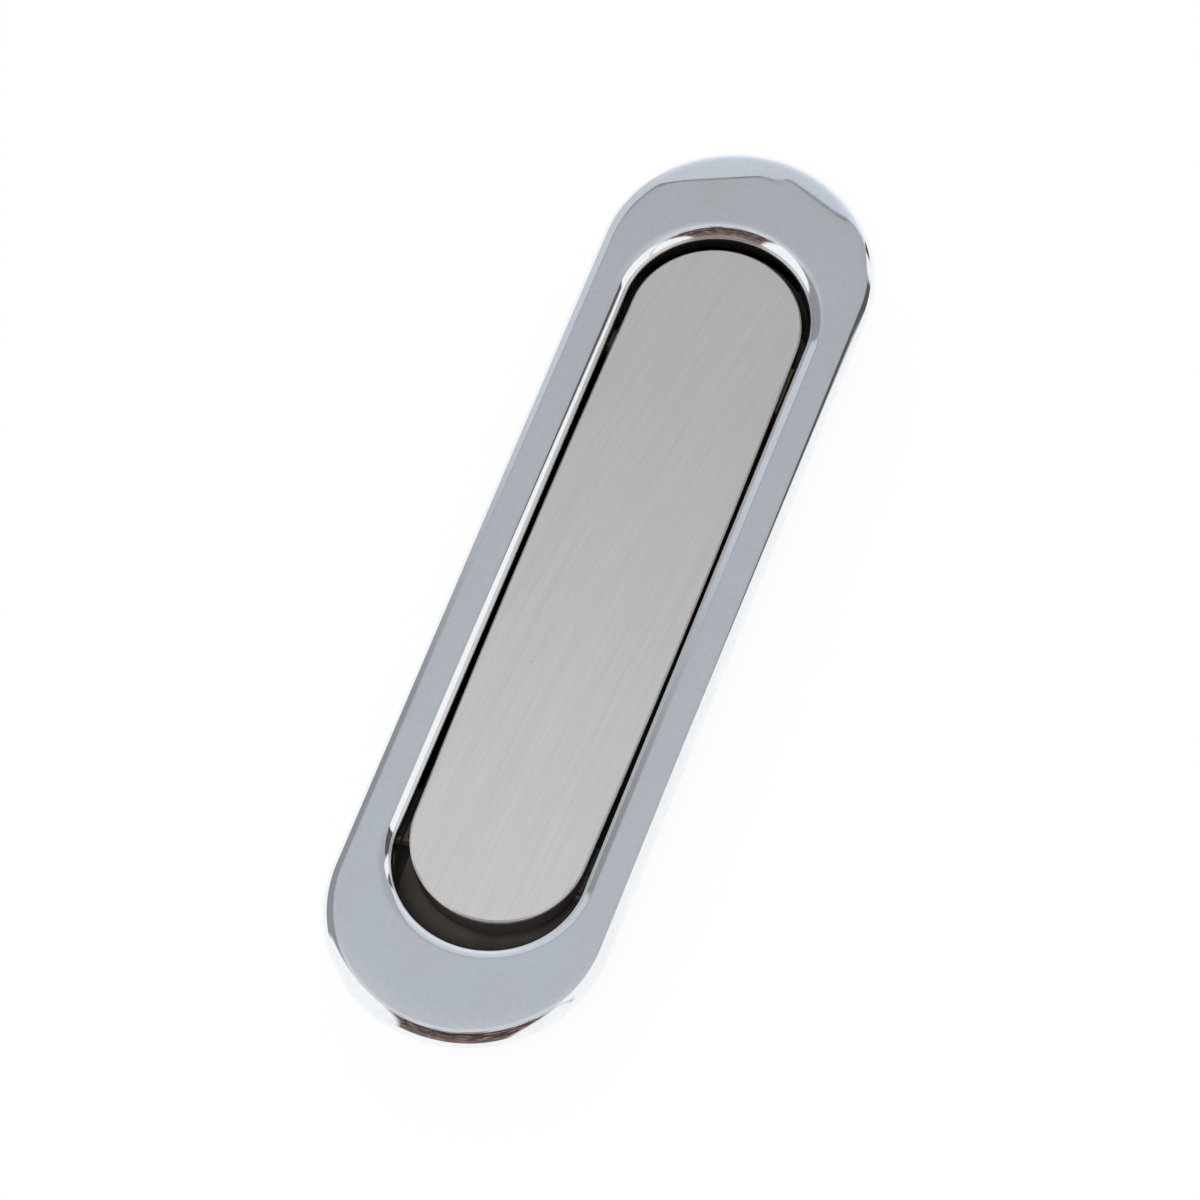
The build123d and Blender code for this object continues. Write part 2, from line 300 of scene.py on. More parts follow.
ringFinish = {
    "colour": (0.91, 0.925, 0.94),
    "warmer": (0.895, 0.905, 0.915),
    "gloss": (0.02, 0.05),
    "patchSize": 9.0,
    "wave": 1.7,                        # between the soft ripples
    "waveDepth": 0.0000009,
    "clouded": (0.955, 0.965, 0.975),   # the faint cloudiness of plating on a casting
    "cloudSize": 0.75,
    "cloudRange": (0.42, 0.66),
    "scratches": {"Amount": 0.12},
    "dust": {"Spacing": 2.6, "Speck Size": 0.11, "Share": 0.28},
    "dustColour": (0.50, 0.50, 0.50),
    "dustCover": 0.35,
    "markRoughness": 0.16,              # how much rougher scratches and dust are
}


def makePlatedRing(finish):
    material, tree, shader = newMaterial("platedRing")
    position = placeGroup(tree, partPosition)["Position"]
    ripple = placeMottle(tree, position, finish["wave"])
    patches = placeMottle(tree, position, finish["patchSize"])
    marks = placeMask(tree, fineScratches, position, finish["scratches"])
    specks = placeMask(tree, dustSpecks, position, finish["dust"])
    clouds = placeMottle(tree, position, finish["cloudSize"])
    cloudy = fadeIn(tree, clouds, *finish["cloudRange"])
    tinted = blendColours(tree, fadeIn(tree, patches, *slowRange), finish["colour"], finish["warmer"])
    plated = blendColours(tree, cloudy, tinted, finish["clouded"], how="MULTIPLY")
    covered = calc(tree, "MULTIPLY", specks, finish["dustCover"])
    smooth = rescale(tree, patches, *slowRange, *finish["gloss"])
    rougher = calc(tree, "MULTIPLY", calc(tree, "ADD", marks, specks), finish["markRoughness"])
    setInputs(tree, shader, {
        "Base Color": blendColours(tree, covered, plated, finish["dustColour"]),
        "Roughness": calc(tree, "ADD", smooth, rougher),
        "Normal": addBump(tree, ripple, finish["waveDepth"]),
        "Metallic": 1.0,
    })
    spreadNodes(tree)
    return material


# The ring itself, remade with fine rows round its edge and its lip so that the chrome mirrors smoothly. Buffing
# has rolled its face off a little at both ends. Sizes are millimetres, with z = 0 on the door's face.

ring = {
    "rim": (20.0, 72.5),          # half width and half length
    "opening": (13.35, 57.85),
    "top": 2.2,
    "edgeRadius": 2.0,            # the rounded outer edge
    "lipRadius": 2.1,             # the rounded inner lip
    "crownWidth": 3.4,            # the face drops a little over this width beside the rim
    "crownDrop": 0.06,
    "endRoll": {                  # where the buffed ends begin, and how they bend
        "start": 67.9,            # along the ring, on its centre line
        "halfWidth": 2.0,         # out to this distance from the centre line
        "fall": 0.45,             # further out they begin sooner, by this much for each millimetre
        "bend": 0.03,             # one over the radius of the bend
    },
    "seatWidth": 1.8,             # the rim's flat underside, round the recess
    "recessTop": 0.8,
    "collarWall": 1.2,            # the collar that goes down into the housing
    "collarBottom": -2.6,
    "screwBosses": {"places": ((0, -64.0), (0, 64.0)), "radius": 3.1, "bottom": -9.0,
                    "bore": 1.65, "boreTop": -1.0},
    "clampBosses": {"places": ((-10.5, -60.5), (10.5, -60.5), (-10.5, 60.5), (10.5, 60.5)), "radius": 2.2,
                    "bottom": -5.0, "bore": 1.05, "boreTop": 0.2},
    "bossOverlap": 0.2,           # how far a boss reaches into the ring
    "bossSteps": 48,
    "crownRows": 4,
    "faceRows": 30,
    "roundRows": 18,
    "arcSteps": 112,
    "straightSteps": 24,
}


def buffedOff(x, y, roll):
    start = roll["start"] - roll["fall"] * max(0.0, abs(x) - roll["halfWidth"])
    beyond = max(0.0, abs(y) - start) / math.hypot(1.0, roll["fall"])
    return roll["bend"] * beyond ** 2 / 2


def ovalRow(build, halves, grow, level, values):
    halfWidth, halfLength = halves[0] + grow, halves[1] + grow
    centre = halfLength - halfWidth
    points = []
    for end in (1, -1):
        for step in range(values["arcSteps"]):
            turn = math.pi * step / values["arcSteps"]
            points.append((end * halfWidth * math.cos(turn), end * (centre + halfWidth * math.sin(turn))))
        for step in range(values["straightSteps"]):
            along = centre * (1 - 2 * step / values["straightSteps"])
            points.append((-end * halfWidth, end * along))
    share = max(0.0, (level - values["recessTop"]) / (values["top"] - values["recessTop"]))
    row = []
    for x, y in points:
        lowered = level - share * buffedOff(x, y, values["endRoll"])
        row.append(build.verts.new((x / 1000, y / 1000, lowered / 1000)))
    return row


def joinRows(build, first, second, smooth=True):
    for index in range(len(first)):
        following = (index + 1) % len(first)
        face = build.faces.new((first[index], first[following], second[following], second[index]))
        face.smooth = smooth


# The rows go in from the rim over the face, down the lip and the collar, and back out underneath. Each is
# (half sizes, how far it is set out from them, level, whether it is a sharp edge).

def ringRows(values):
    rim, opening, top = values["rim"], values["opening"], values["top"]
    edge, lip = values["edgeRadius"], values["lipRadius"]
    rows = [(rim, 0.0, 0.0, True)]
    crownRadius = (values["crownWidth"] ** 2 + values["crownDrop"] ** 2) / (2 * values["crownDrop"])
    reach = values["crownWidth"] - edge
    roundCentre = top - crownRadius + math.sqrt((crownRadius - edge) ** 2 - reach ** 2)
    lastTilt = math.asin(reach / (crownRadius - edge))
    for step in range(values["roundRows"] + 1):
        tilt = math.pi / 2 + (lastTilt - math.pi / 2) * step / values["roundRows"]
        rows.append((rim, edge * (math.sin(tilt) - 1), roundCentre + edge * math.cos(tilt), False))
    for step in range(1, values["crownRows"] + 1):
        away = reach * (1 - step / values["crownRows"])
        level = top - crownRadius + math.sqrt(crownRadius ** 2 - away ** 2)
        rows.append((rim, -values["crownWidth"] + away, level, False))
    faceRim = [half - values["crownWidth"] for half in rim]
    faceLip = [half + lip for half in opening]
    for step in range(1, values["faceRows"]):
        part = step / values["faceRows"]
        between = [outer + (inner - outer) * part for outer, inner in zip(faceRim, faceLip)]
        rows.append((between, 0.0, top, False))
    for step in range(values["roundRows"] + 1):
        tilt = math.pi / 2 * step / values["roundRows"]
        rows.append((opening, lip * (1 - math.sin(tilt)), top - lip + lip * math.cos(tilt), False))
    rows.append((opening, 0.0, values["collarBottom"], True))
    rows.append((opening, values["collarWall"], values["collarBottom"], True))
    rows.append((opening, values["collarWall"], values["recessTop"], True))
    rows.append((rim, -values["seatWidth"], values["recessTop"], True))
    rows.append((rim, -values["seatWidth"], 0.0, True))
    return rows


def addBoss(build, centre, boss, values):
    steps, start = values["bossSteps"], values["recessTop"] + values["bossOverlap"]
    profile = ((boss["radius"], start), (boss["radius"], boss["bottom"]),
               (boss["bore"], boss["bottom"]), (boss["bore"], boss["boreTop"]))
    previous = None
    for radius, level in profile:
        row = []
        for step in range(steps):
            turn = 2 * math.pi * step / steps
            place = (centre[0] + radius * math.cos(turn), centre[1] - radius * math.sin(turn), level)
            row.append(build.verts.new(Vector(place) / 1000))
        if previous:
            joinRows(build, previous, row, smooth=False)
        previous = row
    build.faces.new(previous)


def addPiece(build, name, material):
    mesh = bpy.data.meshes.new(name)
    build.to_mesh(mesh)
    build.free()
    mesh.materials.append(material)
    piece = bpy.data.objects.new(name, mesh)
    bpy.context.scene.collection.objects.link(piece)
    return piece


def makeFaceRing(values):
    build = bmesh.new()
    rows = ringRows(values)
    loops = [ovalRow(build, halves, grow, level, values) for halves, grow, level, sharp in rows]
    for index in range(len(loops)):
        joinRows(build, loops[index], loops[(index + 1) % len(loops)])
    for loop, (halves, grow, level, sharp) in zip(loops, rows):
        for index in range(len(loop)):
            build.edges.get((loop[index], loop[(index + 1) % len(loop)])).smooth = not sharp
    for bosses in (values["screwBosses"], values["clampBosses"]):
        for centre in bosses["places"]:
            addBoss(build, centre, bosses, values)
    piece = addPiece(build, "faceRing", finishes["plated_ring"])
    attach(piece, "handle_body")
    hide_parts("bezel")
    return piece


# Torsion springs: round wire, wound about the hinge pin. In the real handle the leg above the pin follows the
# flap and the leg on the floor stays, so each spring winds up as the flap turns; here each is built as one
# fixed piece. Sizes are millimetres and degrees.

springs = {
    "pivot": (0.0, 38.95, -6.1),
    "start": 4.7,            # from the middle of the handle to the first turn
    "coilRadius": 2.45,
    "wireRadius": 0.35,
    "cutBevel": 0.2,         # the bevel of the cut ends, as a part of the wire's radius
    "pitch": 0.8,
    "turns": 3,              # full turns, before the part of a turn that brings the legs to their slopes
    "legLength": 9.0,
    "upperSlope": 4.32,
    "lowerSlope": 37.47,
    "windingHeight": 1.2,    # how far above and below the pin the wire turns from one body to the other
    "stepsPerTurn": 48,
    "legSteps": 8,
    "wireSides": 14,
}


def springPath(values, sign):
    pivot, radius, pitch = Vector(values["pivot"]), values["coilRadius"], values["pitch"]
    slope, length = math.radians(values["upperSlope"]), values["legLength"]
    upwards = Vector((0.0, -math.sin(slope), math.cos(slope)))
    backwards = Vector((0.0, -math.cos(slope), -math.sin(slope)))
    wound = 360 * values["turns"] + 180 - values["upperSlope"] - values["lowerSlope"]
    steps = round(values["stepsPerTurn"] * wound / 360)
    coil, directions = [], []
    for step in range(steps + 1):
        turn = math.radians(wound * step / steps)
        along = Vector((values["start"] + pitch * turn / (2 * math.pi), 0.0, 0.0))
        coil.append(pivot + along + radius * (math.cos(turn) * upwards + math.sin(turn) * backwards))
        direction = radius * (math.cos(turn) * backwards - math.sin(turn) * upwards)
        directions.append((direction + Vector((pitch / (2 * math.pi), 0.0, 0.0))).normalized())
    shares = [step / values["legSteps"] for step in range(1, values["legSteps"] + 1)]
    upper = [(coil[0] - directions[0] * length * share, directions[0]) for share in reversed(shares)]
    lower = [(coil[-1] + directions[-1] * length * share, directions[-1]) for share in shares]
    path = upper + list(zip(coil, directions)) + lower
    mirrored = Vector((sign, 1.0, 1.0))
    return [(place * mirrored, direction * mirrored) for place, direction in path]


def wireRow(build, place, direction, radius, sides):
    side = Vector((1.0, 0.0, 0.0))
    side = (side - direction * side.dot(direction)).normalized()
    across = direction.cross(side)
    row = []
    for step in range(sides):
        turn = 2 * math.pi * step / sides
        row.append(build.verts.new((place + radius * (math.cos(turn) * side + math.sin(turn) * across)) / 1000))
    return row


def makeSpring(values, label, sign):
    build = bmesh.new()
    path = springPath(values, sign)
    radius, sides = values["wireRadius"], values["wireSides"]
    cut = radius * values["cutBevel"]
    (firstPlace, firstWay), (lastPlace, lastWay) = path[0], path[-1]
    rows = [wireRow(build, firstPlace, firstWay, radius - cut, sides)]
    rows.append(wireRow(build, firstPlace + firstWay * cut, firstWay, radius, sides))
    rows += [wireRow(build, place, direction, radius, sides) for place, direction in path[1:-1]]
    rows.append(wireRow(build, lastPlace - lastWay * cut, lastWay, radius, sides))
    rows.append(wireRow(build, lastPlace, lastWay, radius - cut, sides))
    for first, second in zip(rows, rows[1:]):
        joinRows(build, first, second)
    build.faces.new(list(reversed(rows[0])))
    build.faces.new(rows[-1])
    bmesh.ops.recalc_face_normals(build, faces=build.faces)
    piece = addPiece(build, "spring" + label, finishes["spring_wire"])
    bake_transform(piece)
    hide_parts("torsion_spring_" + label.lower())


# Plate: stainless steel, brushed by hand along its length in lines that bend towards the press end

plateFinish = {
    "light": (0.88, 0.855, 0.820),
    "dark": (0.78, 0.758, 0.727),
    "pressEndPaintedShade": (0.80, 0.782, 0.77),   # painted shade: how much darker the steel's colour is made at the press end
    "paintedShadeSpan": (-62.0, 52.0),          # where along the plate the painted shade begins, and where it is darkest
    "metal": 0.80,                     # the rest is a dull film that evens out what the steel mirrors
    "gloss": (0.29, 0.40),
    "patchSize": 7.0,
    "patchRoughness": 0.06,
    "lineWidth": 0.085,
    "lineLength": 9.0,
    "lean": 0.05,                      # millimetres sideways for each one along
    "bend": 0.0000041,                 # sideways, times the cube of the distance from the finger end
    "lineDepth": 0.0000026,
    "dust": {"Spacing": 6.0, "Speck Size": 0.22, "Share": 0.3},
    "dustColour": (0.34, 0.33, 0.32),
    "dustCover": 0.5,
    "wear": {"Edge Width": 0.0002, "Amount": 0.5},
    # lighter edges: partly wear, partly a painted highlight along the plate's edges
    "wornEdgeAndHighlight": (0.9, 0.89, 0.88),
    "wornShine": 0.3,                  # how much less rough the worn edges are
}


def makeBrushedPlate(finish):
    material, tree, shader = newMaterial("brushedPlate")
    position = placeGroup(tree, partPosition)["Position"]
    lines = placeGroup(tree, brushLines, {
        "Position": position,
        "Line Width": finish["lineWidth"],
        "Line Length": finish["lineLength"],
        "Lean": finish["lean"],
        "Bend": finish["bend"],
    })
    patches = placeMottle(tree, position, finish["patchSize"])
    specks = placeMask(tree, dustSpecks, position, finish["dust"])
    worn = placeMask(tree, wornEdges, position, finish["wear"])
    # painted shade: the steel's colour is made darker along the plate towards the press end
    along = addNode(tree, "SeparateXYZ", {0: position}).outputs["Y"]
    stainedOrShaded = blendColours(tree, fadeIn(tree, along, *finish["paintedShadeSpan"]), (1.0, 1.0, 1.0), finish["pressEndPaintedShade"])
    brushed = blendColours(tree, lines["Tone"], finish["dark"], finish["light"])
    steel = blendColours(tree, 1.0, brushed, stainedOrShaded, how="MULTIPLY")
    # worn edges, partly a painted highlight: the plate's edges get a lighter colour than the steel
    bright = blendColours(tree, worn, steel, finish["wornEdgeAndHighlight"])
    covered = calc(tree, "MULTIPLY", specks, finish["dustCover"])
    cloudy = calc(tree, "MULTIPLY", patches, finish["patchRoughness"])
    rough = calc(tree, "ADD", rescale(tree, lines["Tone"], 0.0, 1.0, *finish["gloss"]), cloudy)
    setInputs(tree, shader, {
        "Base Color": blendColours(tree, covered, bright, finish["dustColour"]),
        "Roughness": calc(tree, "SUBTRACT", rough, calc(tree, "MULTIPLY", worn, finish["wornShine"])),
        "Normal": addBump(tree, lines["Height"], finish["lineDepth"]),
        "Metallic": finish["metal"],
    })
    spreadNodes(tree)
    return material


# Moulded black plastics: the housing has a fine spark grain, the flap is smoother

housingFinish = {
    "black": (0.079, 0.069, 0.063),
    "faded": (0.108, 0.095, 0.086),
    "gloss": (0.34, 0.52),
    "grain": 0.28,
    "grainDepth": 0.00002,
    "wear": {"Edge Width": 0.0003, "Amount": 0.45},
}
flapFinish = {
    "black": (0.062, 0.054, 0.049),
    "faded": (0.086, 0.075, 0.068),
    "gloss": (0.24, 0.40),
    "grain": 0.18,
    "grainDepth": 0.000008,
    "wear": {"Edge Width": 0.0003, "Amount": 0.6},
}
mouldedBlack = {                        # the same on both
    "fading": (0.3, 0.75),
    "grainStrength": 0.7,
    "rounding": 0.00012,                # metres, at every edge
    # lighter edges: partly wear, partly a painted highlight along the mouldings' edges
    "wornEdgeAndHighlight": (0.13, 0.11, 0.095),
    "wornRoughness": 0.12,
    "dust": {"Spacing": 2.2, "Speck Size": 0.16, "Share": 0.25},
    "dustColour": (0.22, 0.21, 0.20),
    "dustCover": 0.3,
}


def makeMouldedBlack(name, finish, both):
    material, tree, shader = newMaterial(name)
    position = placeGroup(tree, partPosition)["Position"]
    grain = placeGroup(tree, mouldGrain, {"Position": position, "Grain Size": finish["grain"]})
    specks = placeMask(tree, dustSpecks, position, both["dust"])
    worn = placeMask(tree, wornEdges, position, finish["wear"])
    shade = fadeIn(tree, grain["Shine"], *both["fading"])
    plastic = blendColours(tree, shade, finish["black"], finish["faded"])
    # worn edges, partly a painted highlight: the mouldings' edges get a lighter colour than the plastic
    edgeWornAndHighlit = blendColours(tree, worn, plastic, both["wornEdgeAndHighlight"])
    covered = calc(tree, "MULTIPLY", specks, both["dustCover"])
    smooth = rescale(tree, grain["Shine"], *shineRange, *finish["gloss"])
    rounded = addNode(tree, "Bevel", {"Radius": both["rounding"]}, samples=4).outputs["Normal"]
    setInputs(tree, shader, {
        "Base Color": blendColours(tree, covered, edgeWornAndHighlit, both["dustColour"]),
        "Roughness": calc(tree, "ADD", smooth, calc(tree, "MULTIPLY", worn, both["wornRoughness"])),
        "Normal": addBump(tree, grain["Height"], finish["grainDepth"], both["grainStrength"], rounded),
        "Metallic": 0.0,
    })
    spreadNodes(tree)
    return material


# Plain steels: the ground pin, the drawn spring wire and the zinc plated screws

pinFinish = {
    "light": (0.70, 0.70, 0.71), "dark": (0.52, 0.52, 0.53), "lineWidth": 0.05, "lineLength": 1.2,
    "gloss": (0.16, 0.28), "depth": 0.0000015, "stain": (0.44, 0.42, 0.40), "stained": 0.25,
}
springFinish = {
    "light": (0.52, 0.51, 0.49), "dark": (0.30, 0.29, 0.28), "lineWidth": 0.03, "lineLength": 0.9,
    "gloss": (0.24, 0.38), "depth": 0.000002, "stain": (0.20, 0.17, 0.14), "stained": 0.5,
}
screwFinish = {
    "light": (0.72, 0.74, 0.77), "dark": (0.50, 0.52, 0.56), "lineWidth": 0.12, "lineLength": 0.3,
    "gloss": (0.24, 0.42), "depth": 0.000003, "stain": (0.58, 0.55, 0.44), "stained": 0.4,
}
plainSteel = {                          # the same on all three
    "patchSize": 1.4,
    "staining": (0.45, 0.7),
    "stainRoughness": 0.2,
    "wear": {"Edge Width": 0.00015, "Amount": 0.7},
    "wornEdgeAndHighlight": (0.82, 0.82, 0.82),
}


def makeSteel(name, finish, every):
    material, tree, shader = newMaterial(name)
    position = placeGroup(tree, partPosition)["Position"]
    lines = placeGroup(tree, brushLines, {
        "Position": position, "Line Width": finish["lineWidth"], "Line Length": finish["lineLength"],
    })
    patches = placeMottle(tree, position, every["patchSize"])
    worn = placeMask(tree, wornEdges, position, every["wear"])
    steel = blendColours(tree, lines["Tone"], finish["dark"], finish["light"])
    stained = calc(tree, "MULTIPLY", fadeIn(tree, patches, *every["staining"]), finish["stained"])
    stainedOrShaded = blendColours(tree, stained, steel, finish["stain"])
    smooth = rescale(tree, lines["Tone"], 0.0, 1.0, *finish["gloss"])
    setInputs(tree, shader, {
        "Base Color": blendColours(tree, worn, stainedOrShaded, every["wornEdgeAndHighlight"]),
        "Roughness": calc(tree, "ADD", smooth, calc(tree, "MULTIPLY", stained, every["stainRoughness"])),
        "Normal": addBump(tree, lines["Height"], finish["depth"]),
        "Metallic": 1.0,
    })
    spreadNodes(tree)
    return material


# Soft and plain mouldings: black acetal bushes, rubber pads, the cut edge of the foam tape

bushFinish = {
    "light": (0.085, 0.070, 0.060), "dark": (0.050, 0.042, 0.037), "grain": 0.5, "depth": 0.000008,
    "gloss": (0.30, 0.42), "scatter": 0.0,
}
padFinish = {
    "light": (0.055, 0.054, 0.053), "dark": (0.024, 0.024, 0.025), "grain": 0.22, "depth": 0.00003,
    "gloss": (0.70, 0.88), "scatter": 0.0,
}
tapeFinish = {
    "light": (0.76, 0.75, 0.71), "dark": (0.55, 0.54, 0.50), "grain": 0.12, "depth": 0.00003,
    "gloss": (0.72, 0.90), "scatter": 0.05,
}
softMoulding = {                        # the same on all three
    "patchSize": 2.4,
    "grainStrength": 0.8,
    "rounding": 0.0001,                 # metres, at every edge
    "scatterDepth": 0.001,              # metres
}


def makeSoftMoulding(name, finish, every):
    material, tree, shader = newMaterial(name)
    position = placeGroup(tree, partPosition)["Position"]
    grain = placeGroup(tree, mouldGrain, {"Position": position, "Grain Size": finish["grain"]})
    patches = placeMottle(tree, position, every["patchSize"])
    rounded = addNode(tree, "Bevel", {"Radius": every["rounding"]}, samples=4).outputs["Normal"]
    setInputs(tree, shader, {
        "Base Color": blendColours(tree, fadeIn(tree, patches, *slowRange), finish["dark"], finish["light"]),
        "Roughness": rescale(tree, grain["Shine"], *shineRange, *finish["gloss"]),
        "Normal": addBump(tree, grain["Height"], finish["depth"], every["grainStrength"], rounded),
        "Metallic": 0.0,
        "Subsurface Weight": finish["scatter"],
        "Subsurface Scale": every["scatterDepth"],
    })
    spreadNodes(tree)
    return material


finishes = {
    "plated_ring": makePlatedRing(ringFinish),
    "brushed_plate": makeBrushedPlate(plateFinish),
    "black_housing": makeMouldedBlack("blackHousing", housingFinish, mouldedBlack),
    "black_flap": makeMouldedBlack("blackFlap", flapFinish, mouldedBlack),
    "pin_steel": makeSteel("groundPin", pinFinish, plainSteel),
    "spring_wire": makeSteel("springWire", springFinish, plainSteel),
    "screw_zinc": makeSteel("zincScrew", screwFinish, plainSteel),
    "bush": makeSoftMoulding("acetalBush", bushFinish, softMoulding),
    "soft_pad": makeSoftMoulding("rubberPad", padFinish, softMoulding),
    "tape": makeSoftMoulding("foamTape", tapeFinish, softMoulding),
}
for subpart in frame["record"]["subparts"]:
    node = nodes[subpart["node"]]
    node.data.materials.clear()
    node.data.materials.append(finishes[subpart["material_slot"]])
faceRing = makeFaceRing(ring)
print("Face ring built:", len(faceRing.data.polygons), "faces")
for label, sign in (("Right", 1.0), ("Left", -1.0)):
    makeSpring(springs, label, sign)
print("Springs wound")


# Floor: a pale sheet that the handle lies on. Sizes are metres.

floor = {
    "reach": 4.0,
    "rings": 10,
    "steps": 48,
    "below": 0.0001,     # under the handle, so that the two faces don't flicker
    "colour": (0.90, 0.90, 0.90),
    "roughness": 0.9,
    "shine": 0.1,
    "glow": 0.94,        # how much of it the camera and mirrors see as plain white
}


def makePaleFloor(values):
    material, tree, shader = newMaterial("paleFloor")
    setInputs(tree, shader, {
        "Base Color": (*values["colour"], 1.0),
        "Roughness": values["roughness"],
        "Specular IOR Level": values["shine"],
    })
    path = addNode(tree, "LightPath").outputs
    seen = calc(tree, "MAXIMUM", path["Is Camera Ray"],
                calc(tree, "MAXIMUM", path["Is Glossy Ray"], path["Is Transmission Ray"]))
    white = addNode(tree, "Emission", {"Color": (1.0, 1.0, 1.0, 1.0), "Strength": 1.0})
    mixed = addNode(tree, "MixShader", {
        0: calc(tree, "MULTIPLY", seen, values["glow"]),
        1: shader.outputs["BSDF"],
        2: white.outputs["Emission"],
    })
    tree.links.new(mixed.outputs["Shader"], tree.nodes["Material Output"].inputs["Surface"])
    spreadNodes(tree)
    return material


def makeFloor(values):
    build = bmesh.new()
    steps = values["steps"]
    level = cadBox[0][2] - values["below"]
    centre = build.verts.new((0.0, 0.0, level))
    previous = None
    for number in range(1, values["rings"] + 1):
        reach = values["reach"] * (number / values["rings"]) ** 2
        row = []
        for step in range(steps):
            turn = 2 * math.pi * step / steps
            row.append(build.verts.new((reach * math.cos(turn), reach * math.sin(turn), level)))
        if previous:
            joinRows(build, row, previous, smooth=False)
        else:
            for step in range(steps):
                build.faces.new((centre, row[step], row[(step + 1) % steps]))
        previous = row
    sheet = addPiece(build, "floor", makePaleFloor(values))


makeFloor(floor)


# Studio: even soft light, and round it what the chrome mirrors. Angles are degrees from straight up,
# positive towards the back (+Y); places to the side are parts of the distance across (-1 left, 1 right).

studio = {
    "evenLight": 0.66,
    "room": (
        (-180, (0.95, 0.95, 0.95)),
        (-90, (0.95, 0.95, 0.96)),
        (-87, (0.20, 0.15, 0.14)),
        (-62, (0.12, 0.105, 0.105)),
        (-45, (0.060, 0.055, 0.056)),
        (-21, (0.055, 0.052, 0.055)),
        (-17, (0.66, 0.69, 0.74)),
        (1, (0.66, 0.69, 0.74)),
        (9, (0.54, 0.56, 0.60)),
        (21, (0.495, 0.520, 0.560)),
        (29, (0.435, 0.452, 0.478)),
        (40, (0.42, 0.435, 0.46)),
    ),
    "beyond": (
        (25, (0.585, 0.595, 0.61)),
        (41, (0.58, 0.625, 0.69)),
        (61, (0.64, 0.70, 0.78)),
        (83, (0.76, 0.83, 0.91)),
        (91, (0.95, 0.96, 0.97)),
        (180, (0.95, 0.95, 0.95)),
    ),
    "edge": (29.15, 29.3, 29.8, 30.0),     # a thin dark edge between the room and the pale wall beyond
    "edgePath": (                          # it climbs to the right: place and degrees
        (-0.1655, 0.0), (-0.160, 2.0), (-0.131, 3.6), (-0.105, 5.7), (-0.077, 8.0), (0.367, 40.5),
    ),
    "edgeColour": (0.24, 0.24, 0.245),
    "copper": (0.38, 0.22, 0.15),          # warm things in front, seen as spots in the dark
    "copperScale": 12.0,                   # spots across the room
    "copperSpots": (0.55, 0.61),           # more noise than this is a spot
    "front": (0.10, 0.20),                 # where the front half begins
    "frontLeft": (0.34, 0.42),             # the dark in front ends here, and white begins
    "frontRight": (0.60, 0.70),
    "seam": (0.56, 0.61, 0.66, 0.72),      # dark at the back on the right: its soft side and far edges
    "seamColour": (0.10, 0.095, 0.10),
    "rightWhite": (0.278, 0.226, 0.02),    # white in front of a slanting line in it: place, slant and blur
    "rightWall": (0.42, 0.46, 0.80, 0.83), # white behind it: its soft side and far edges
    "backLeft": (0.46, 0.66),              # the left side begins: pale blue far back, greyer towards the middle
    "leftFar": (0.385, 0.44),
    "leftBlue": (0.58, 0.62, 0.69),
    "leftGrey": (0.29, 0.30, 0.32),
    "white": (0.98, 0.985, 0.99),
}


def rampByAngle(tree, turn, stops):
    node = addNode(tree, "ValToRGB", {"Fac": turn})
    node.color_ramp.interpolation = "LINEAR"
    elements = node.color_ramp.elements
    for index, (degrees, colour) in enumerate(stops):
        place = (degrees + 180) / 360
        element = elements[index] if index < 2 else elements.new(place)
        element.position = place
        element.color = (*colour, 1.0)
    return node.outputs["Color"]


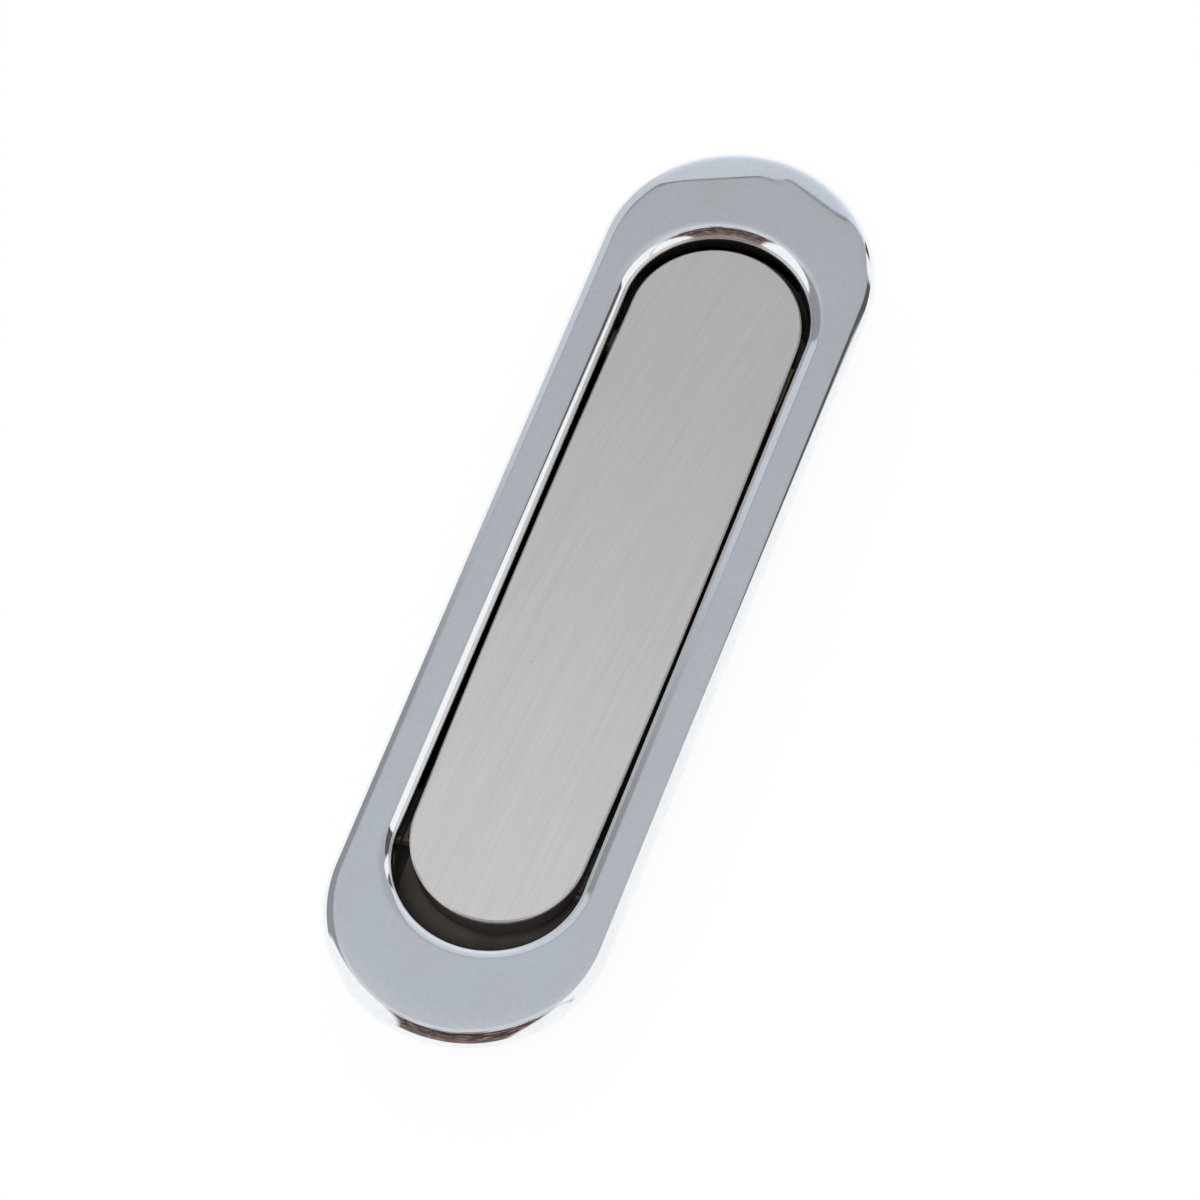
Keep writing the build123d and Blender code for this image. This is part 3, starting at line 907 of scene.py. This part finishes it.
def makeStudio(values):
    world = bpy.data.worlds.new("studio")
    world.use_nodes = True
    tree = world.node_tree
    tree.nodes.clear()
    towards = addNode(tree, "TexCoord").outputs["Generated"]
    parts = addNode(tree, "SeparateXYZ", {0: towards}).outputs
    rightward, backward = parts["X"], parts["Y"]
    leftward = calc(tree, "MULTIPLY", rightward, -1.0)
    angle = calc(tree, "DEGREES", calc(tree, "ARCTAN2", backward, parts["Z"]))
    turn = calc(tree, "MULTIPLY_ADD", angle, 1 / 360, 0.5)
    room = rampByAngle(tree, turn, values["room"])
    beyond = rampByAngle(tree, turn, values["beyond"])
    edgePath = values["edgePath"]
    edgeAngle = calc(tree, "SUBTRACT", angle, edgePath[0][1])
    for (place, climb), (nextPlace, nextClimb) in zip(edgePath, edgePath[1:]):
        rise = rescale(tree, rightward, place, nextPlace, 0.0, nextClimb - climb)
        edgeAngle = calc(tree, "SUBTRACT", edgeAngle, rise)
    lineStart, lineDark, lineLight, lineEnd = values["edge"]
    lined = blendColours(tree, fadeIn(tree, edgeAngle, lineStart, lineDark), room, values["edgeColour"])
    around = blendColours(tree, fadeIn(tree, edgeAngle, lineLight, lineEnd), lined, beyond)

    front = fadeIn(tree, calc(tree, "MULTIPLY", backward, -1.0), *values["front"])
    blobs = addNode(tree, "TexNoise", {"Vector": towards, "Scale": values["copperScale"], "Detail": 1.0})
    spots = calc(tree, "MULTIPLY", fadeIn(tree, blobs.outputs["Fac"], *values["copperSpots"]), front)
    spotted = blendColours(tree, spots, around, values["copper"])
    frontWhite = calc(tree, "MAXIMUM", fadeIn(tree, leftward, *values["frontLeft"]),
                      fadeIn(tree, rightward, *values["frontRight"]))
    inFront = blendColours(tree, calc(tree, "MULTIPLY", frontWhite, front), spotted, values["white"])

    back = calc(tree, "SUBTRACT", 1.0, front)
    left = calc(tree, "MULTIPLY", fadeIn(tree, leftward, *values["backLeft"]), back)
    far = fadeIn(tree, backward, *values["leftFar"])
    leftColour = blendColours(tree, far, values["leftGrey"], values["leftBlue"])
    withLeft = blendColours(tree, left, inFront, leftColour)
    seamStart, seamDark, seamFar, seamEnd = values["seam"]
    near = calc(tree, "SUBTRACT", 1.0, fadeIn(tree, backward, seamFar, seamEnd))
    seam = calc(tree, "MULTIPLY", fadeIn(tree, rightward, seamStart, seamDark), back)
    withSeam = blendColours(tree, calc(tree, "MULTIPLY", seam, near), withLeft, values["seamColour"])
    place, slant, blur = values["rightWhite"]
    ahead = calc(tree, "SUBTRACT", calc(tree, "MULTIPLY_ADD", rightward, slant, place), backward)
    bright = calc(tree, "MULTIPLY", fadeIn(tree, ahead, 0.0, blur), seam)
    withWhite = blendColours(tree, bright, withSeam, values["white"])
    wallStart, wallFull, wallFar, wallEnd = values["rightWall"]
    wall = calc(tree, "MULTIPLY", fadeIn(tree, rightward, wallStart, wallFull),
                fadeIn(tree, backward, seamFar, seamEnd))
    withWall = blendColours(tree, wall, withWhite, values["white"])
    darkEnd = calc(tree, "MULTIPLY", wall, fadeIn(tree, backward, wallFar, wallEnd))
    mirrored = blendColours(tree, darkEnd, withWall, values["seamColour"])

    path = addNode(tree, "LightPath").outputs
    even = addNode(tree, "Background", {"Color": (1.0, 1.0, 1.0, 1.0), "Strength": values["evenLight"]})
    reflected = addNode(tree, "Background", {"Color": mirrored, "Strength": 1.0})
    white = addNode(tree, "Background", {"Color": (1.0, 1.0, 1.0, 1.0), "Strength": 1.0})
    glossy = addNode(tree, "MixShader", {
        0: path["Is Glossy Ray"], 1: even.outputs[0], 2: reflected.outputs[0],
    })
    seen = calc(tree, "MAXIMUM", path["Is Camera Ray"], path["Is Transmission Ray"])
    final = addNode(tree, "MixShader", {0: seen, 1: glossy.outputs[0], 2: white.outputs[0]})
    output = addNode(tree, "OutputWorld")
    tree.links.new(final.outputs[0], output.inputs["Surface"])
    spreadNodes(tree)
    world.cycles.sampling_method = "NONE"
    bpy.context.scene.world = world


makeStudio(studio)


# Lamps: a softbox behind on the left, and a fill lamp near the camera that lights the depth of the gap

lamps = {
    "softbox": {"place": (-0.25, 0.35, 0.75), "size": (0.60, 0.60), "power": 1.5},
    "fill": {"place": (0.10, -0.38, 0.80), "size": (0.14, 0.14), "power": 3.4},
}


def makeLamp(name, values):
    lamp = bpy.data.lights.new(name, "AREA")
    lamp.shape = "RECTANGLE"
    lamp.size, lamp.size_y = values["size"]
    lamp.energy = values["power"]
    holder = bpy.data.objects.new(name, lamp)
    place = Vector(values["place"])
    holder.location = place
    holder.rotation_euler = (-place).to_track_quat("-Z", "Y").to_euler()  # aimed at the handle
    holder.visible_glossy = False  # the chrome mirrors the studio alone
    holder.visible_camera = False
    bpy.context.scene.collection.objects.link(holder)


for lampName, lampValues in lamps.items():
    makeLamp(lampName, lampValues)
print("Floor, studio and", len(lamps), "lamps ready")


# Camera: high, from the near end and a little to the right, with a long lens

view = {
    "lens": 187.8,       # millimetres, as is the sensor
    "sensor": 36.0,
    "clip": (0.01, 20.0),
    "place": (0.1479, -0.3619, 0.7774),
    # the camera's own three directions
    "right": (0.93656263, 0.35012581, -0.01619719),
    "up": (-0.3064322, 0.84036764, 0.44708112),
    "back": (0.17014623, -0.41375613, 0.89434676),
}


def makeCamera(values):
    lens = bpy.data.cameras.new("camera")
    lens.sensor_width = values["sensor"]
    lens.lens = values["lens"]
    lens.clip_start, lens.clip_end = values["clip"]
    camera = bpy.data.objects.new("camera", lens)
    turn = Matrix((values["right"], values["up"], values["back"])).transposed()
    camera.matrix_world = Matrix.Translation(values["place"]) @ turn.to_4x4()
    bpy.context.scene.collection.objects.link(camera)
    bpy.context.scene.camera = camera


makeCamera(view)
bpy.context.scene.view_settings.view_transform = "Standard"
print("Camera ready")
